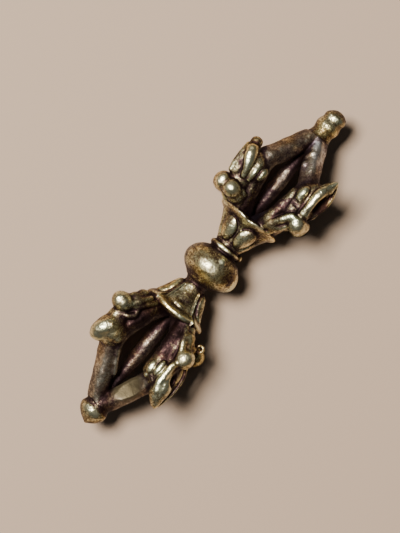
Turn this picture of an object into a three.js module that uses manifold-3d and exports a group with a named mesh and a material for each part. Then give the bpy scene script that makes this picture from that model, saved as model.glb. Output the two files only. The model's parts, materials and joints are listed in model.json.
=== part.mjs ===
// Vajra amulet, cast in brass: a ball-shaped hub between two lotus cups, each of which carries a cage of four
// prongs round a straight centre prong. Each outer prong runs out of the mouth of a makara, a sea beast with a
// turned-up snout, and the prongs of a cage close on a tip.
// Millimetres. +X runs along the amulet, +Z is up, and the origin is on the surface that the amulet lies on,
// below the middle of the hub. "Back" is the +Y side and "front" the -Y side.

import * as THREE from "three";
import { mergeVertices } from "three/addons/utils/BufferGeometryUtils.js";
import Module from "manifold-3d";

const wasm = await Module();
wasm.setup();

// Driving dimensions. "Out" is a distance from the amulet's axis, and "At" one along it, which is measured from
// the mouth of the cup in a cage, and from the cage's own end in a tip.
const seam = 0.15; // clearance where one piece is fitted round another

const hubRadius = 4.7;
const hubHalfLength = 2.7;
const hubEndRadius = 1.75;

const collarLength = 1.2;
const collarRadius = 2.3;
const neckRadius = 1.85;

const lotusLength = 5.3;
const lotusMouthRadius = 5.4;
const petalNeckThickness = 0.3;
const petalMouthThickness = 0.6;
const petalRelief = 0.6;
const petalScallop = 0.5; // how much further a petal reaches at its middle than at its sides

const armRootOut = 2.5; // where a prong leaves the cup
const armBellyAt = 8.2; // where a prong bows out furthest
const armWidth = 3.1;
const armDepth = 2.6;
const armTipWidth = 2.5;
const armTipDepth = 2.4;
const armSquareness = 2.8; // 2 is an ellipse, and more is squarer
const stubLength = 2.2; // how far a prong runs on into the tip
const centreProngRadius = 0.95; // at the cup
const centreProngMiddleRadius = 1.15;
const centreProngTipRadius = 0.55;

const curlRadius = 1.65;
const strandThickness = 1.3; // of the mane, from the cup to the skull
const strandSpread = 1.15; // from the middle of the mane out to a side strand
const skullLength = 5.0;
const skullWidth = 3.5;
const skullDepth = 3.4;
const snoutWidth = 3.0;
const snoutDepth = 2.7;
const cheekLength = 4.4;
const cheekThickness = 1.9;
const cheekSpread = 1.8; // from the middle of the head out to the middle of a cheek

const restHeight = 7.3; // from the surface that the amulet lies on up to its axis

// The two ends differ, as those of a hand-made casting do: the left cage is the longer and fuller one and closes on
// a pointed bud, and the right cage closes early, on a stem with a ball and a cap. A tip's profile is a list of
// [at, out] pairs. Azimuths are in degrees about the axis, from the top towards the back.
const ends = [
  {
    name: "left",
    turn: Math.PI,
    firstPetal: 0,
    petalNames: ["top", "front", "bottom", "back"],
    cageLength: 15.8,
    armBellyOut: 6.2,
    armWaistAt: 12.6,
    armWaistOut: 4.0,
    armEndOut: 2.1,
    tipProfile: [
      [0, 1.5],
      [1.3, 2.15],
      [2.5, 2.0],
      [3.4, 2.3],
      [4.3, 2.1],
      [5.3, 1.15],
      [6.0, 0],
    ],
    heads: [
      {
        name: "upper_back", azimuth: 48, curlAt: 3.7, curlOut: 9.3, cheekAt: 8.3,
        snoutAt: 10.6, snoutOut: 10.0, bulk: 1.2,
      },
      {
        name: "upper_front", azimuth: -46, curlAt: 4.3, curlOut: 8.6, cheekAt: 8.9,
        snoutAt: 13.0, snoutOut: 9.7, bulk: 1,
      },
      {
        name: "lower_front", azimuth: -130, curlAt: 3.5, curlOut: 9.2, cheekAt: 7.6,
        snoutAt: 12.0, snoutOut: 9.4, bulk: 0.95,
      },
      {
        name: "lower_back", azimuth: 130, curlAt: 3.9, curlOut: 9.1, cheekAt: 7.8,
        snoutAt: 11.0, snoutOut: 9.5, bulk: 1.05,
      },
    ],
  },
  {
    name: "right",
    turn: 0,
    firstPetal: 45,
    petalNames: ["upper_back", "upper_front", "lower_front", "lower_back"],
    cageLength: 14.2,
    armBellyOut: 5.7,
    armWaistAt: 11.4,
    armWaistOut: 3.9,
    armEndOut: 2.1,
    tipProfile: [
      [0, 1.5],
      [1.2, 2.15],
      [2.6, 1.85],
      [3.4, 1.75],
      [4.5, 2.0],
      [5.5, 1.7],
      [6.4, 1.75],
      [7.3, 0.95],
      [7.6, 0],
    ],
    heads: [
      {
        name: "upper_back", azimuth: 44, curlAt: 2.1, curlOut: 7.9, cheekAt: 6.4,
        snoutAt: 10.2, snoutOut: 9.1, bulk: 1.1,
      },
      {
        name: "upper_front", azimuth: -45, curlAt: 3.9, curlOut: 8.2, cheekAt: 7.1,
        snoutAt: 12.8, snoutOut: 9.4, bulk: 1,
      },
      {
        name: "lower_front", azimuth: -133, curlAt: 4.2, curlOut: 9.1, cheekAt: 7.4,
        snoutAt: 11.6, snoutOut: 9.3, bulk: 1,
      },
      {
        name: "lower_back", azimuth: 132, curlAt: 2.4, curlOut: 9.3, cheekAt: 7.0,
        snoutAt: 10.6, snoutOut: 9.3, bulk: 1,
      },
    ],
  },
];

// Places along the axis, from the middle of the hub
const lotusAt = hubHalfLength + collarLength;
const mouthAt = lotusAt + lotusLength;

// Finishes
const brass = new THREE.MeshStandardMaterial({ color: 0xa8843f, roughness: 0.3, metalness: 1 });
const darkBrass = new THREE.MeshStandardMaterial({ color: 0x6b4a35, roughness: 0.45, metalness: 1 });

// A closed three.js geometry as a solid that can be joined and cut
function solidOf(geometry) {
  const bare = geometry.clone();
  for (const name of Object.keys(bare.attributes)) {
    if (name !== "position") bare.deleteAttribute(name);
  }
  const merged = mergeVertices(bare, 1e-4);
  return new wasm.Manifold(
    new wasm.Mesh({
      numProp: 3,
      vertProperties: new Float32Array(merged.attributes.position.array),
      triVerts: new Uint32Array(merged.index.array),
    }),
  );
}

// A solid back as a three.js geometry, without what joining and cutting leave: slivers, crumbs, and air shut in
// between lobes. What stays is the outside of the largest body.
function geometryOf(solid) {
  const slivers = 0.06;
  const bodies = solid.simplify(slivers).decompose();
  const mesh = bodies.sort((one, other) => other.volume() - one.volume())[0].getMesh();
  const geometry = new THREE.BufferGeometry();
  geometry.setAttribute("position", new THREE.BufferAttribute(mesh.vertProperties, 3));
  geometry.setIndex(new THREE.BufferAttribute(mesh.triVerts, 1));
  geometry.computeVertexNormals();
  return geometry;
}

function join(geometries) {
  return geometries.map(solidOf).reduce((whole, next) => whole.add(next));
}

function cut(solid, geometries) {
  return geometries.map(solidOf).reduce((rest, next) => rest.subtract(next), solid);
}

function piece(name, geometry, material) {
  const mesh = new THREE.Mesh(geometry, material);
  mesh.name = name;
  return mesh;
}

// A turned form about the X axis, from [at, out] pairs. A profile that stops short of the axis gets a flat end.
function turned(profile, segments) {
  const points = profile.map(([at, out]) => new THREE.Vector2(out, at));
  const first = points[0];
  const last = points[points.length - 1];
  if (first.x > 0) points.unshift(new THREE.Vector2(0, first.y));
  if (last.x > 0) points.push(new THREE.Vector2(0, last.y));
  return new THREE.LatheGeometry(points, segments).rotateZ(-Math.PI / 2);
}

// The same from a smooth curve through the pairs
function turnedSmooth(profile, segments, steps) {
  const curve = new THREE.SplineCurve(profile.map(([at, out]) => new THREE.Vector2(at, out)));
  return turned(
    curve.getPoints(steps).map((point) => [point.x, Math.max(point.y, 0)]),
    segments,
  );
}

function curveOf(points) {
  return new THREE.CatmullRomCurve3(points.map(([x, y, z]) => new THREE.Vector3(x, y, z)));
}

// Moves the two coordinates of a round section towards a square, over 2, or towards a diamond, under 2
function squared(angle, squareness) {
  const bend = (value) => Math.sign(value) * Math.abs(value) ** (2 / squareness);
  return [bend(Math.cos(angle)), bend(Math.sin(angle))];
}

// A rod along a curve that keeps near the XZ plane. size(t) gives half its width, along Y, and half its depth.
function rod(curve, size, { sides = 7, steps = 4, squareness = 2 } = {}) {
  const geometry = new THREE.CylinderGeometry(1, 1, 1, sides, steps);
  const position = geometry.attributes.position;
  const across = new THREE.Vector3();
  const up = new THREE.Vector3();
  for (let i = 0; i < position.count; i++) {
    const t = position.getY(i) + 0.5;
    const reach = Math.hypot(position.getX(i), position.getZ(i));
    const [wide, deep] = squared(Math.atan2(position.getZ(i), position.getX(i)), squareness);
    const [halfWidth, halfDepth] = size(t);
    const tangent = curve.getTangentAt(t);
    across.set(0, 1, 0).addScaledVector(tangent, -tangent.y).normalize();
    up.crossVectors(across, tangent);
    const point = curve
      .getPointAt(t)
      .addScaledVector(across, reach * wide * halfWidth)
      .addScaledVector(up, reach * deep * halfDepth);
    position.setXYZ(i, point.x, point.y, point.z);
  }
  return geometry;
}

function blob(x, y, z, length, width, depth, pitch = 0) {
  return new THREE.SphereGeometry(0.5, 9, 6).scale(length, width, depth).rotateY(-pitch).translate(x, y, z);
}

function makeHub() {
  const steps = 12;
  const profile = [];
  for (let i = 0; i <= steps; i++) {
    const angle = Math.PI * (i / steps - 0.5);
    profile.push([
      hubHalfLength * Math.sin(angle),
      hubEndRadius + (hubRadius - hubEndRadius) * Math.cos(angle),
    ]);
  }
  return piece("hub_ball", turned(profile, 26), brass);
}

// A ring that swells between the hub and the neck of the cup
function makeCollar(end) {
  const steps = 6;
  const profile = [];
  for (let i = 0; i <= steps; i++) {
    const swell = Math.sin((Math.PI * i) / steps) ** 0.7;
    profile.push([hubHalfLength + (collarLength * i) / steps, neckRadius + (collarRadius - neckRadius) * swell]);
  }
  return piece(end.name + "_collar", turned(profile, 20), brass);
}

// The lotus form under the petals' relief, at a distance from its neck
function lotusRadius(along) {
  const share = along / lotusLength;
  return neckRadius + (lotusMouthRadius - petalRelief - neckRadius) * (0.8 * share + 0.2 * share ** 3);
}

function petalThickness(along) {
  const share = along / lotusLength;
  return petalNeckThickness + (petalMouthThickness - petalNeckThickness) * share;
}

function cupRadius(along) {
  return lotusRadius(along) - petalThickness(along) - seam;
}

// The core that the petals wrap, out of which the prongs grow
function makeCup(end) {
  const steps = 6;
  const profile = [];
  for (let i = 0; i <= steps; i++) {
    const along = (lotusLength * i) / steps;
    profile.push([lotusAt + along, cupRadius(along)]);
  }
  return piece(end.name + "_lotus_cup", turned(profile, 20), darkBrass);
}

// The relief of a petal: a rounded boss inside a groove, inside a raised rim. u runs from side to side, from -1
// to 1, and v from the neck, 0, to the mouth, 1.
function petalReliefAt(u, v) {
  const rise = THREE.MathUtils.smoothstep;
  const boss = 1 - rise(Math.hypot(u / 0.6, (v - 0.42) / 0.34), 0.45, 1);
  const mouthRim = rise(v, 0.74, 0.9);
  const sideRim = rise(Math.abs(u), 0.5, 0.72) * rise(v, 0.05, 0.4);
  const valley = 1 - rise(Math.abs(u), 0.84, 1);
  return Math.max(0.8 * boss, mouthRim * (0.4 + 0.6 * valley), 0.8 * sideRim * valley);
}

// One of four petals that wrap the cup: a plate bent round the cone, with its relief on the outside. grow gives
// the space that a neighbour keeps clear.
function petalGeometry(grow = 0) {
  const geometry = new THREE.BoxGeometry(1, 1, 1, 10, 7, 1);
  const position = geometry.attributes.position;
  const quarter = Math.PI / 4;
  for (let i = 0; i < position.count; i++) {
    const u = 2 * position.getX(i);
    const v = position.getY(i) + 0.5;
    const along = (lotusLength + grow + petalScallop * (1 - u * u)) * v;
    const inner = cupRadius(Math.min(along, lotusLength)) + seam;
    const outer = inner + petalThickness(Math.min(along, lotusLength)) + petalRelief * petalReliefAt(u, v);
    const radius = position.getZ(i) > 0 ? outer + grow : inner - grow;
    const angle = u * (quarter - (seam / 2 - grow) / radius);
    position.setXYZ(i, lotusAt + along, radius * Math.sin(angle), radius * Math.cos(angle));
  }
  // The plate's length now runs along X, which turned its faces inside out
  const order = geometry.index.array;
  for (let i = 0; i < order.length; i += 3) {
    [order[i + 1], order[i + 2]] = [order[i + 2], order[i + 1]];
  }
  return geometry;
}

// How far a piece of an end turns about X to stand at an azimuth. An end is modelled along +X, and the left one is
// then turned round, so its azimuths run the other way.
function turnOf(end, azimuth) {
  return -THREE.MathUtils.degToRad(azimuth) * Math.cos(end.turn);
}

function petalAzimuth(end, i) {
  return end.firstPetal - 90 * i;
}

function makePetal(end, i) {
  const petal = piece(end.name + "_petal_" + end.petalNames[i], geometryOf(solidOf(petalGeometry())), brass);
  petal.rotation.x = turnOf(end, petalAzimuth(end, i));
  return petal;
}

// The line of a prong in its own plane: X along the axis from the mouth of the cup, Z outwards
function armCurve(end) {
  return curveOf([
    [-1.2, 0, armRootOut - 0.1],
    [0, 0, armRootOut],
    [armBellyAt * 0.38, 0, armRootOut + 0.62 * (end.armBellyOut - armRootOut)],
    [armBellyAt, 0, end.armBellyOut],
    [end.armWaistAt, 0, end.armWaistOut],
    [end.cageLength, 0, end.armEndOut],
    [end.cageLength + stubLength, 0, end.armEndOut - 1.6],
  ]);
}

// How far along the curve, from 0 to 1, it comes to a distance from the cup
function shareAt(curve, at) {
  let low = 0;
  let high = 1;
  for (let i = 0; i < 24; i++) {
    const middle = (low + high) / 2;
    if (curve.getPointAt(middle).x < at) low = middle;
    else high = middle;
  }
  return (low + high) / 2;
}

function armOut(end, at) {
  const curve = armCurve(end);
  return curve.getPointAt(shareAt(curve, at)).z;
}

// A prong, or a stretch of it, between two distances from the cup. Its sections stand square to the amulet's axis,
// so that its ends lie flat against the cup and the tip.
function armGeometry(end, from, to, { grow = 0, steps = 9 } = {}) {
  const curve = armCurve(end);
  const geometry = new THREE.CylinderGeometry(1, 1, 1, 10, steps);
  const position = geometry.attributes.position;
  for (let i = 0; i < position.count; i++) {
    const at = from + (position.getY(i) + 0.5) * (to - from);
    const share = shareAt(curve, at);
    const taper = THREE.MathUtils.smoothstep(at / end.cageLength, 0.45, 1);
    const halfWidth = THREE.MathUtils.lerp(armWidth, armTipWidth, taper) / 2 + grow;
    const halfDepth = THREE.MathUtils.lerp(armDepth, armTipDepth, taper) / 2 + grow;
    const reach = Math.hypot(position.getX(i), position.getZ(i));
    const [wide, deep] = squared(Math.atan2(position.getZ(i), position.getX(i)), armSquareness);
    const out = curve.getPointAt(share).z + (reach * deep * halfDepth) / curve.getTangentAt(share).x;
    position.setXYZ(i, at, -reach * wide * halfWidth, out);
  }
  return geometry;
}

function makeArm(end, head) {
  return piece(end.name + "_prong_" + head.name, armGeometry(end, 0, end.cageLength), darkBrass);
}

// The mane: a stalk that rises from the cup to the curl, a neck that carries the curl, a strand on each side that
// runs on to the skull, and the flesh between them, which lies on the prong as far as the throat
function maneGeometries(end, head, skullAt, skullOut) {
  const onArm = (at) => armOut(end, at) + armDepth / 2 + strandThickness * 0.25;
  const half = strandThickness / 2;
  const throatAt = head.cheekAt + cheekLength / 4;
  const flesh = rod(
    curveOf([
      [0, 0, onArm(0) - 0.7 * half],
      [head.curlAt * 0.6, 0, onArm(head.curlAt * 0.6) - 0.7 * half],
      [throatAt, 0, onArm(throatAt) - 0.7 * half],
    ]),
    () => [armWidth / 2 - seam, 2 * half],
    { sides: 6, steps: 3, squareness: armSquareness },
  );
  const stalk = rod(
    curveOf([
      [0, 0, onArm(0) - 0.2],
      [head.curlAt * 0.45, 0, onArm(head.curlAt * 0.45) + 0.3],
      [head.curlAt * 0.85, 0, head.curlOut - curlRadius],
      [head.curlAt, 0, head.curlOut],
    ]),
    (t) => [half * (1.1 + 0.5 * t), half * (1 + 0.6 * t)],
  );
  const neck = rod(
    curveOf([
      [head.curlAt, 0, onArm(head.curlAt) - half],
      [head.curlAt, 0, head.curlOut],
    ]),
    () => [0.85 * curlRadius, 0.85 * curlRadius],
    { steps: 1 },
  );
  const strands = [-1, 1].map((side) =>
    rod(
      curveOf([
        [0, side * strandSpread, onArm(0) - 0.3],
        [head.curlAt, side * strandSpread * 1.1, onArm(head.curlAt) + 0.4],
        [skullAt, side * strandSpread, skullOut],
      ]),
      () => [half, half],
      { sides: 6, steps: 3 },
    ),
  );
  return [stalk, neck, flesh, ...strands];
}

// The snout: it leaves the top of the skull and turns up to its tip, with a keel along its back
function snoutGeometry(head, skullAt, skullOut) {
  const line = curveOf([
    [skullAt - 2.1, 0, skullOut + 0.3],
    [skullAt + 0.4, 0, skullOut + 0.7],
    [(skullAt + head.snoutAt) / 2 + 0.5, 0, (skullOut + head.snoutOut) / 2 + 0.1],
    [head.snoutAt, 0, head.snoutOut],
  ]);
  const size = (t) => {
    const nape = Math.sqrt(1 - Math.min(t / 0.25 - 1, 0) ** 2);
    const taper = Math.cos((Math.PI / 2) * Math.max(t - 0.3, 0) * 1.3) ** 0.8;
    return [snoutWidth, snoutDepth].map((size) => (size * head.bulk * Math.max(nape, 0.05) * taper) / 2);
  };
  return rod(line, size, { sides: 8, steps: 6, squareness: 1.7 });
}

// The space that a head leaves to the petals of its cup
function petalSpaces(end, head) {
  return end.petalNames.map((_, i) =>
    petalGeometry(seam)
      .rotateX(turnOf(end, petalAzimuth(end, i) - head.azimuth))
      .translate(-mouthAt, 0, 0),
  );
}

// The space below the surface that the amulet lies on, where the curls of the lower heads are worn flat
function spaceBelow(end, head) {
  const side = 8 * restHeight;
  return new THREE.BoxGeometry(side, side, side)
    .translate(0, 0, -restHeight - side / 2)
    .rotateX(-turnOf(end, head.azimuth));
}

// A makara's head, which sits astride its prong: the mane rises from the cup to a curl that stands up as a ball,
// and the snout runs on from the skull, between two cheeks, over the prong that leaves the mouth
function makeMakara(end, head) {
  const skullAt = head.curlAt + 0.52 * (head.snoutAt - head.curlAt);
  const skullOut = (armOut(end, skullAt) + head.snoutOut) / 2 - 0.3;
  const curl = blob(head.curlAt, 0, head.curlOut, 2 * curlRadius, 2 * curlRadius, 2 * curlRadius);
  const skull = blob(skullAt, 0, skullOut, skullLength, skullWidth * head.bulk, skullDepth * head.bulk, 0.15);
  const cheeks = [-1, 1].map((side) =>
    blob(
      head.cheekAt,
      side * cheekSpread,
      armOut(end, head.cheekAt) + 0.7,
      cheekLength,
      cheekThickness,
      cheekThickness,
      0.1,
    ),
  );
  const solid = join([
    ...maneGeometries(end, head, skullAt, skullOut),
    curl,
    skull,
    snoutGeometry(head, skullAt, skullOut),
    ...cheeks,
  ]);
  const spaces = [armGeometry(end, -1, end.cageLength, { grow: seam }), ...petalSpaces(end, head)];
  if (Math.abs(head.azimuth) > 90) spaces.push(spaceBelow(end, head));
  return piece(end.name + "_makara_" + head.name, geometryOf(cut(solid, spaces)), brass);
}

// The centre prong stands on the cup, swells at its middle, and ends on the root of the tip
function makeCentreProng(end) {
  const prong = turnedSmooth(
    [
      [mouthAt, centreProngRadius],
      [mouthAt + end.cageLength / 2, centreProngMiddleRadius],
      [mouthAt + end.cageLength, centreProngTipRadius],
    ],
    12,
    6,
  );
  return piece(end.name + "_centre_prong", prong, darkBrass);
}

// The tip: the last stretch of each prong runs into a turned stem
function makeTip(end) {
  const stubs = end.heads.map((head) =>
    armGeometry(end, end.cageLength, end.cageLength + 0.95 * stubLength, { steps: 3 }).rotateX(
      turnOf(end, head.azimuth),
    ),
  );
  const stem = turnedSmooth(end.tipProfile, 16, 14).translate(end.cageLength, 0, 0);
  const tip = piece(end.name + "_tip", geometryOf(join([stem, ...stubs])), brass);
  tip.position.x = mouthAt;
  return tip;
}

// One end of the amulet, modelled along +X
function makeEnd(end) {
  const group = new THREE.Group();
  group.add(makeCollar(end), makeCup(end), makeCentreProng(end), makeTip(end));
  end.petalNames.forEach((_, i) => group.add(makePetal(end, i)));
  for (const head of end.heads) {
    const spoke = new THREE.Group();
    spoke.add(makeArm(end, head), makeMakara(end, head));
    spoke.position.x = mouthAt;
    spoke.rotation.x = turnOf(end, head.azimuth);
    group.add(spoke);
  }
  group.rotation.z = end.turn;
  return group;
}

const casting = new THREE.Group();
casting.add(makeHub(), ...ends.map(makeEnd));
casting.position.z = restHeight;

const amulet = new THREE.Group();
amulet.add(casting);

export default amulet;
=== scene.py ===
"""Vajra amulet of old cast brass, lying on a pale studio floor and seen as the photograph shows it.

The casting is sculpted as a distance field, in millimetres, on a grid whose x axis is the amulet's own axis.
Each element of the wax pattern (a petal, a prong, a head...) has its own distance, and the blend of them all
is the metal's skin. Each element then gets its own part of that skin, as a closed mesh in place of its CAD
node.
"""

import json
import math
from collections import namedtuple
from functools import partial

import bpy
import numpy as np
from mathutils import Matrix, Vector


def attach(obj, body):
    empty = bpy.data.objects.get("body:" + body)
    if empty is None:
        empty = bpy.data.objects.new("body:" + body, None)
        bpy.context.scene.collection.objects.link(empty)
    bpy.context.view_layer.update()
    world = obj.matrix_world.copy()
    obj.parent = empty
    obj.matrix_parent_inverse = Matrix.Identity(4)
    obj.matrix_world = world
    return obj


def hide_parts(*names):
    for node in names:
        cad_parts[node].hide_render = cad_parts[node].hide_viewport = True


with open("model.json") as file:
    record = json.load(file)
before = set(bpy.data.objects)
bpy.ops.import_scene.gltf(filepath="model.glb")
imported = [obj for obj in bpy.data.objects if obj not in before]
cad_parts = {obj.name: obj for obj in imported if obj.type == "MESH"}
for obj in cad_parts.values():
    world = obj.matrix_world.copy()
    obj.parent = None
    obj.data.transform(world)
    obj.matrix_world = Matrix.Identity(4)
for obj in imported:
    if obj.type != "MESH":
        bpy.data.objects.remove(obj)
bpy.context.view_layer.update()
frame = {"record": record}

MM = 0.001

# Sizes of the casting, in millimetres, as in the CAD source. "Out" is a distance from the axis, and "at" one
# along it.
REST_HEIGHT = 7.3
HUB_RADIUS, HUB_HALF_LENGTH, HUB_END_RADIUS = 4.7, 2.7, 1.75
COLLAR_LENGTH, NECK_RADIUS = 1.2, 1.85
LOTUS_LENGTH, LOTUS_MOUTH_RADIUS = 5.3, 5.4
PETAL_NECK_THICKNESS, PETAL_MOUTH_THICKNESS, PETAL_RELIEF, PETAL_SCALLOP = 0.3, 0.6, 0.6, 0.5
ARM_ROOT_OUT, ARM_BELLY_AT, ARM_END_OUT = 2.5, 8.2, 2.1
ARM_WIDTH, ARM_DEPTH, ARM_TIP_WIDTH, ARM_TIP_DEPTH, ARM_SQUARENESS = 3.1, 2.6, 2.5, 2.4, 2.8
ARM_FULLNESS = 0.22  # how far a cast prong stands out beyond its plain solid
STUB_LENGTH = 2.2
CENTRE_RADIUS, CENTRE_MIDDLE_RADIUS, CENTRE_TIP_RADIUS = 0.95, 1.15, 0.55
CURL_RADIUS, STRAND_SPREAD = 1.65, 1.15
SKULL_LENGTH, SKULL_WIDTH, SKULL_DEPTH = 5.0, 3.5, 3.4
SNOUT_WIDTH, SNOUT_DEPTH = 3.0, 2.7
CHEEK_LENGTH, CHEEK_THICKNESS, CHEEK_SPREAD = 4.4, 1.9, 1.8
LOTUS_AT = HUB_HALF_LENGTH + COLLAR_LENGTH
MOUTH_AT = LOTUS_AT + LOTUS_LENGTH

# A head's azimuth in degrees, from the top towards the back, its curl's place as (at, out), how far along its
# cheek is, its snout's place, and its bulk
Head = namedtuple("Head", "azimuth curl cheek snout bulk")

ENDS = {}
ENDS["left"] = {
    "sign": -1,
    "first_petal": 0,
    "petals": ("top", "front", "bottom", "back"),
    "cage": 15.8,
    "belly_out": 6.2,
    "waist_at": 12.6,
    "waist_out": 4.0,
    "tip": (
        (-1.2, 0.7), (0.0, 1.3), (1.3, 2.05), (2.5, 2.0), (3.4, 2.3), (4.3, 2.1), (5.3, 1.15), (6.0, 0.0),
    ),
    "heads": {
        "upper_back": Head(48, (3.7, 9.3), 8.3, (10.6, 10.0), 1.2),
        "upper_front": Head(-46, (4.3, 8.6), 8.9, (13.0, 9.7), 1.0),
        "lower_front": Head(-130, (3.5, 9.2), 7.6, (12.0, 9.4), 0.95),
        "lower_back": Head(130, (3.9, 9.1), 7.8, (11.0, 9.5), 1.05),
    },
}
ENDS["right"] = {
    "sign": 1,
    "first_petal": 45,
    "petals": ("upper_back", "upper_front", "lower_front", "lower_back"),
    "cage": 14.2,
    "belly_out": 5.7,
    "waist_at": 11.4,
    "waist_out": 3.9,
    "tip": (
        (-1.2, 0.7), (0.0, 1.3), (1.2, 2.05), (2.6, 1.85), (3.4, 1.75), (4.5, 2.0), (5.5, 1.7), (6.4, 1.75),
        (7.3, 0.95), (7.6, 0.0),
    ),
    "heads": {
        "upper_back": Head(44, (2.1, 7.9), 6.4, (10.2, 9.1), 1.1),
        "upper_front": Head(-45, (3.9, 8.2), 7.1, (12.8, 9.4), 1.0),
        "lower_front": Head(-133, (4.2, 9.1), 7.4, (11.6, 9.3), 1.0),
        "lower_back": Head(132, (2.4, 9.3), 7.0, (10.6, 9.3), 1.0),
    },
}

# The photograph's frame
PHOTO_PX_PER_MM = 6.5
PHOTO_SIZE_PX = (400, 533)
PHOTO_HUB_PX = (211, 266)
AXIS_IN_PHOTO_DEG = 50.66
CAMERA_DISTANCE = 0.32
SENSOR_MM = 36.0

# The grid of the distance field, and how elements meet in it
VOXEL = 0.125
GRID_LOW = np.array((-32.0, -9.8, -8.2))
GRID_HIGH = np.array((32.0, 9.8, 9.0))
GRID_SHAPE = np.ceil((GRID_HIGH - GRID_LOW) / VOXEL).astype(int)
FAR = 3.0  # a distance for places that a form doesn't reach
REACH = 0.7  # how far round a form its distance is worked out
BARE = 0.01  # the fillet of an element's first form, which has nothing to blend with
ROD_POINTS = 14  # how many points a rod's curve is followed by
JOINT_SHARPNESS = 8.0  # of the fillet between two elements, per millimetre
SINK = 0.5  # how fast an element's skin goes under its neighbour's, past their border
SINK_DEEP = 0.45  # how far an element's skin may stand out from its own forms
UNEVENNESS = ((0.1, 2.6), (0.05, 1.1), (0.03, 0.5))  # of the wax: how high, and how far from bump to bump
CORNERS = np.array(list(np.ndindex(2, 2, 2)))  # of a cell
EDGES = [(a, b) for a in range(8) for b in range(a + 1, 8) if np.abs(CORNERS[a] - CORNERS[b]).sum() == 1]


def smooth_min(one, other, width):
    """The union of two forms, with a fillet of about the given width."""
    near = np.maximum(width - np.abs(one - other), 0.0)
    return np.minimum(one, other) - near * near / (4.0 * width)


def smooth_max(one, other, width):
    return -smooth_min(-one, -other, width)


def smooth_step(low, high, value):
    share = np.clip((value - low) / (high - low), 0.0, 1.0)
    return share * share * (3.0 - 2.0 * share)


def dot(numbers, arrays):
    return sum(float(number) * array for number, array in zip(numbers, arrays))


def spline(points, count):
    """Points on a Catmull-Rom curve through rows of numbers, evenly spread over its spans."""
    rows = np.asarray(points, float)
    rows = np.vstack([2 * rows[0] - rows[1], rows, 2 * rows[-1] - rows[-2]])
    spans = len(rows) - 3
    place = np.linspace(0, spans, count)
    first = np.minimum(place.astype(int), spans - 1)
    t = (place - first)[:, None]
    a, b, c, d = (rows[first + i] for i in range(4))
    return 0.5 * (2 * b + (c - a) * t + (2 * a - 5 * b + 4 * c - d) * t**2 + (3 * b - a - 3 * c + d) * t**3)


class Place:
    """A frame on one end of the amulet: at along the axis from some start, out from it, side round it."""

    def __init__(self, sign, azimuth, start):
        self.sign, self.start = sign, start
        turn = math.radians(azimuth)
        self.cos, self.sin = math.cos(turn), math.sin(turn)

    def local(self, x, y, z):
        return self.sign * x - self.start, y * self.sin + z * self.cos, y * self.cos - z * self.sin

    def world(self, points):
        at, out, side = np.asarray(points, float).T
        y = out * self.sin + side * self.cos
        z = out * self.cos - side * self.sin
        return np.stack([self.sign * (at + self.start), y, z], 1)


AMULET = Place(1, 0, 0)  # the amulet's own frame, where at, out and side are x, z and y


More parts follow.
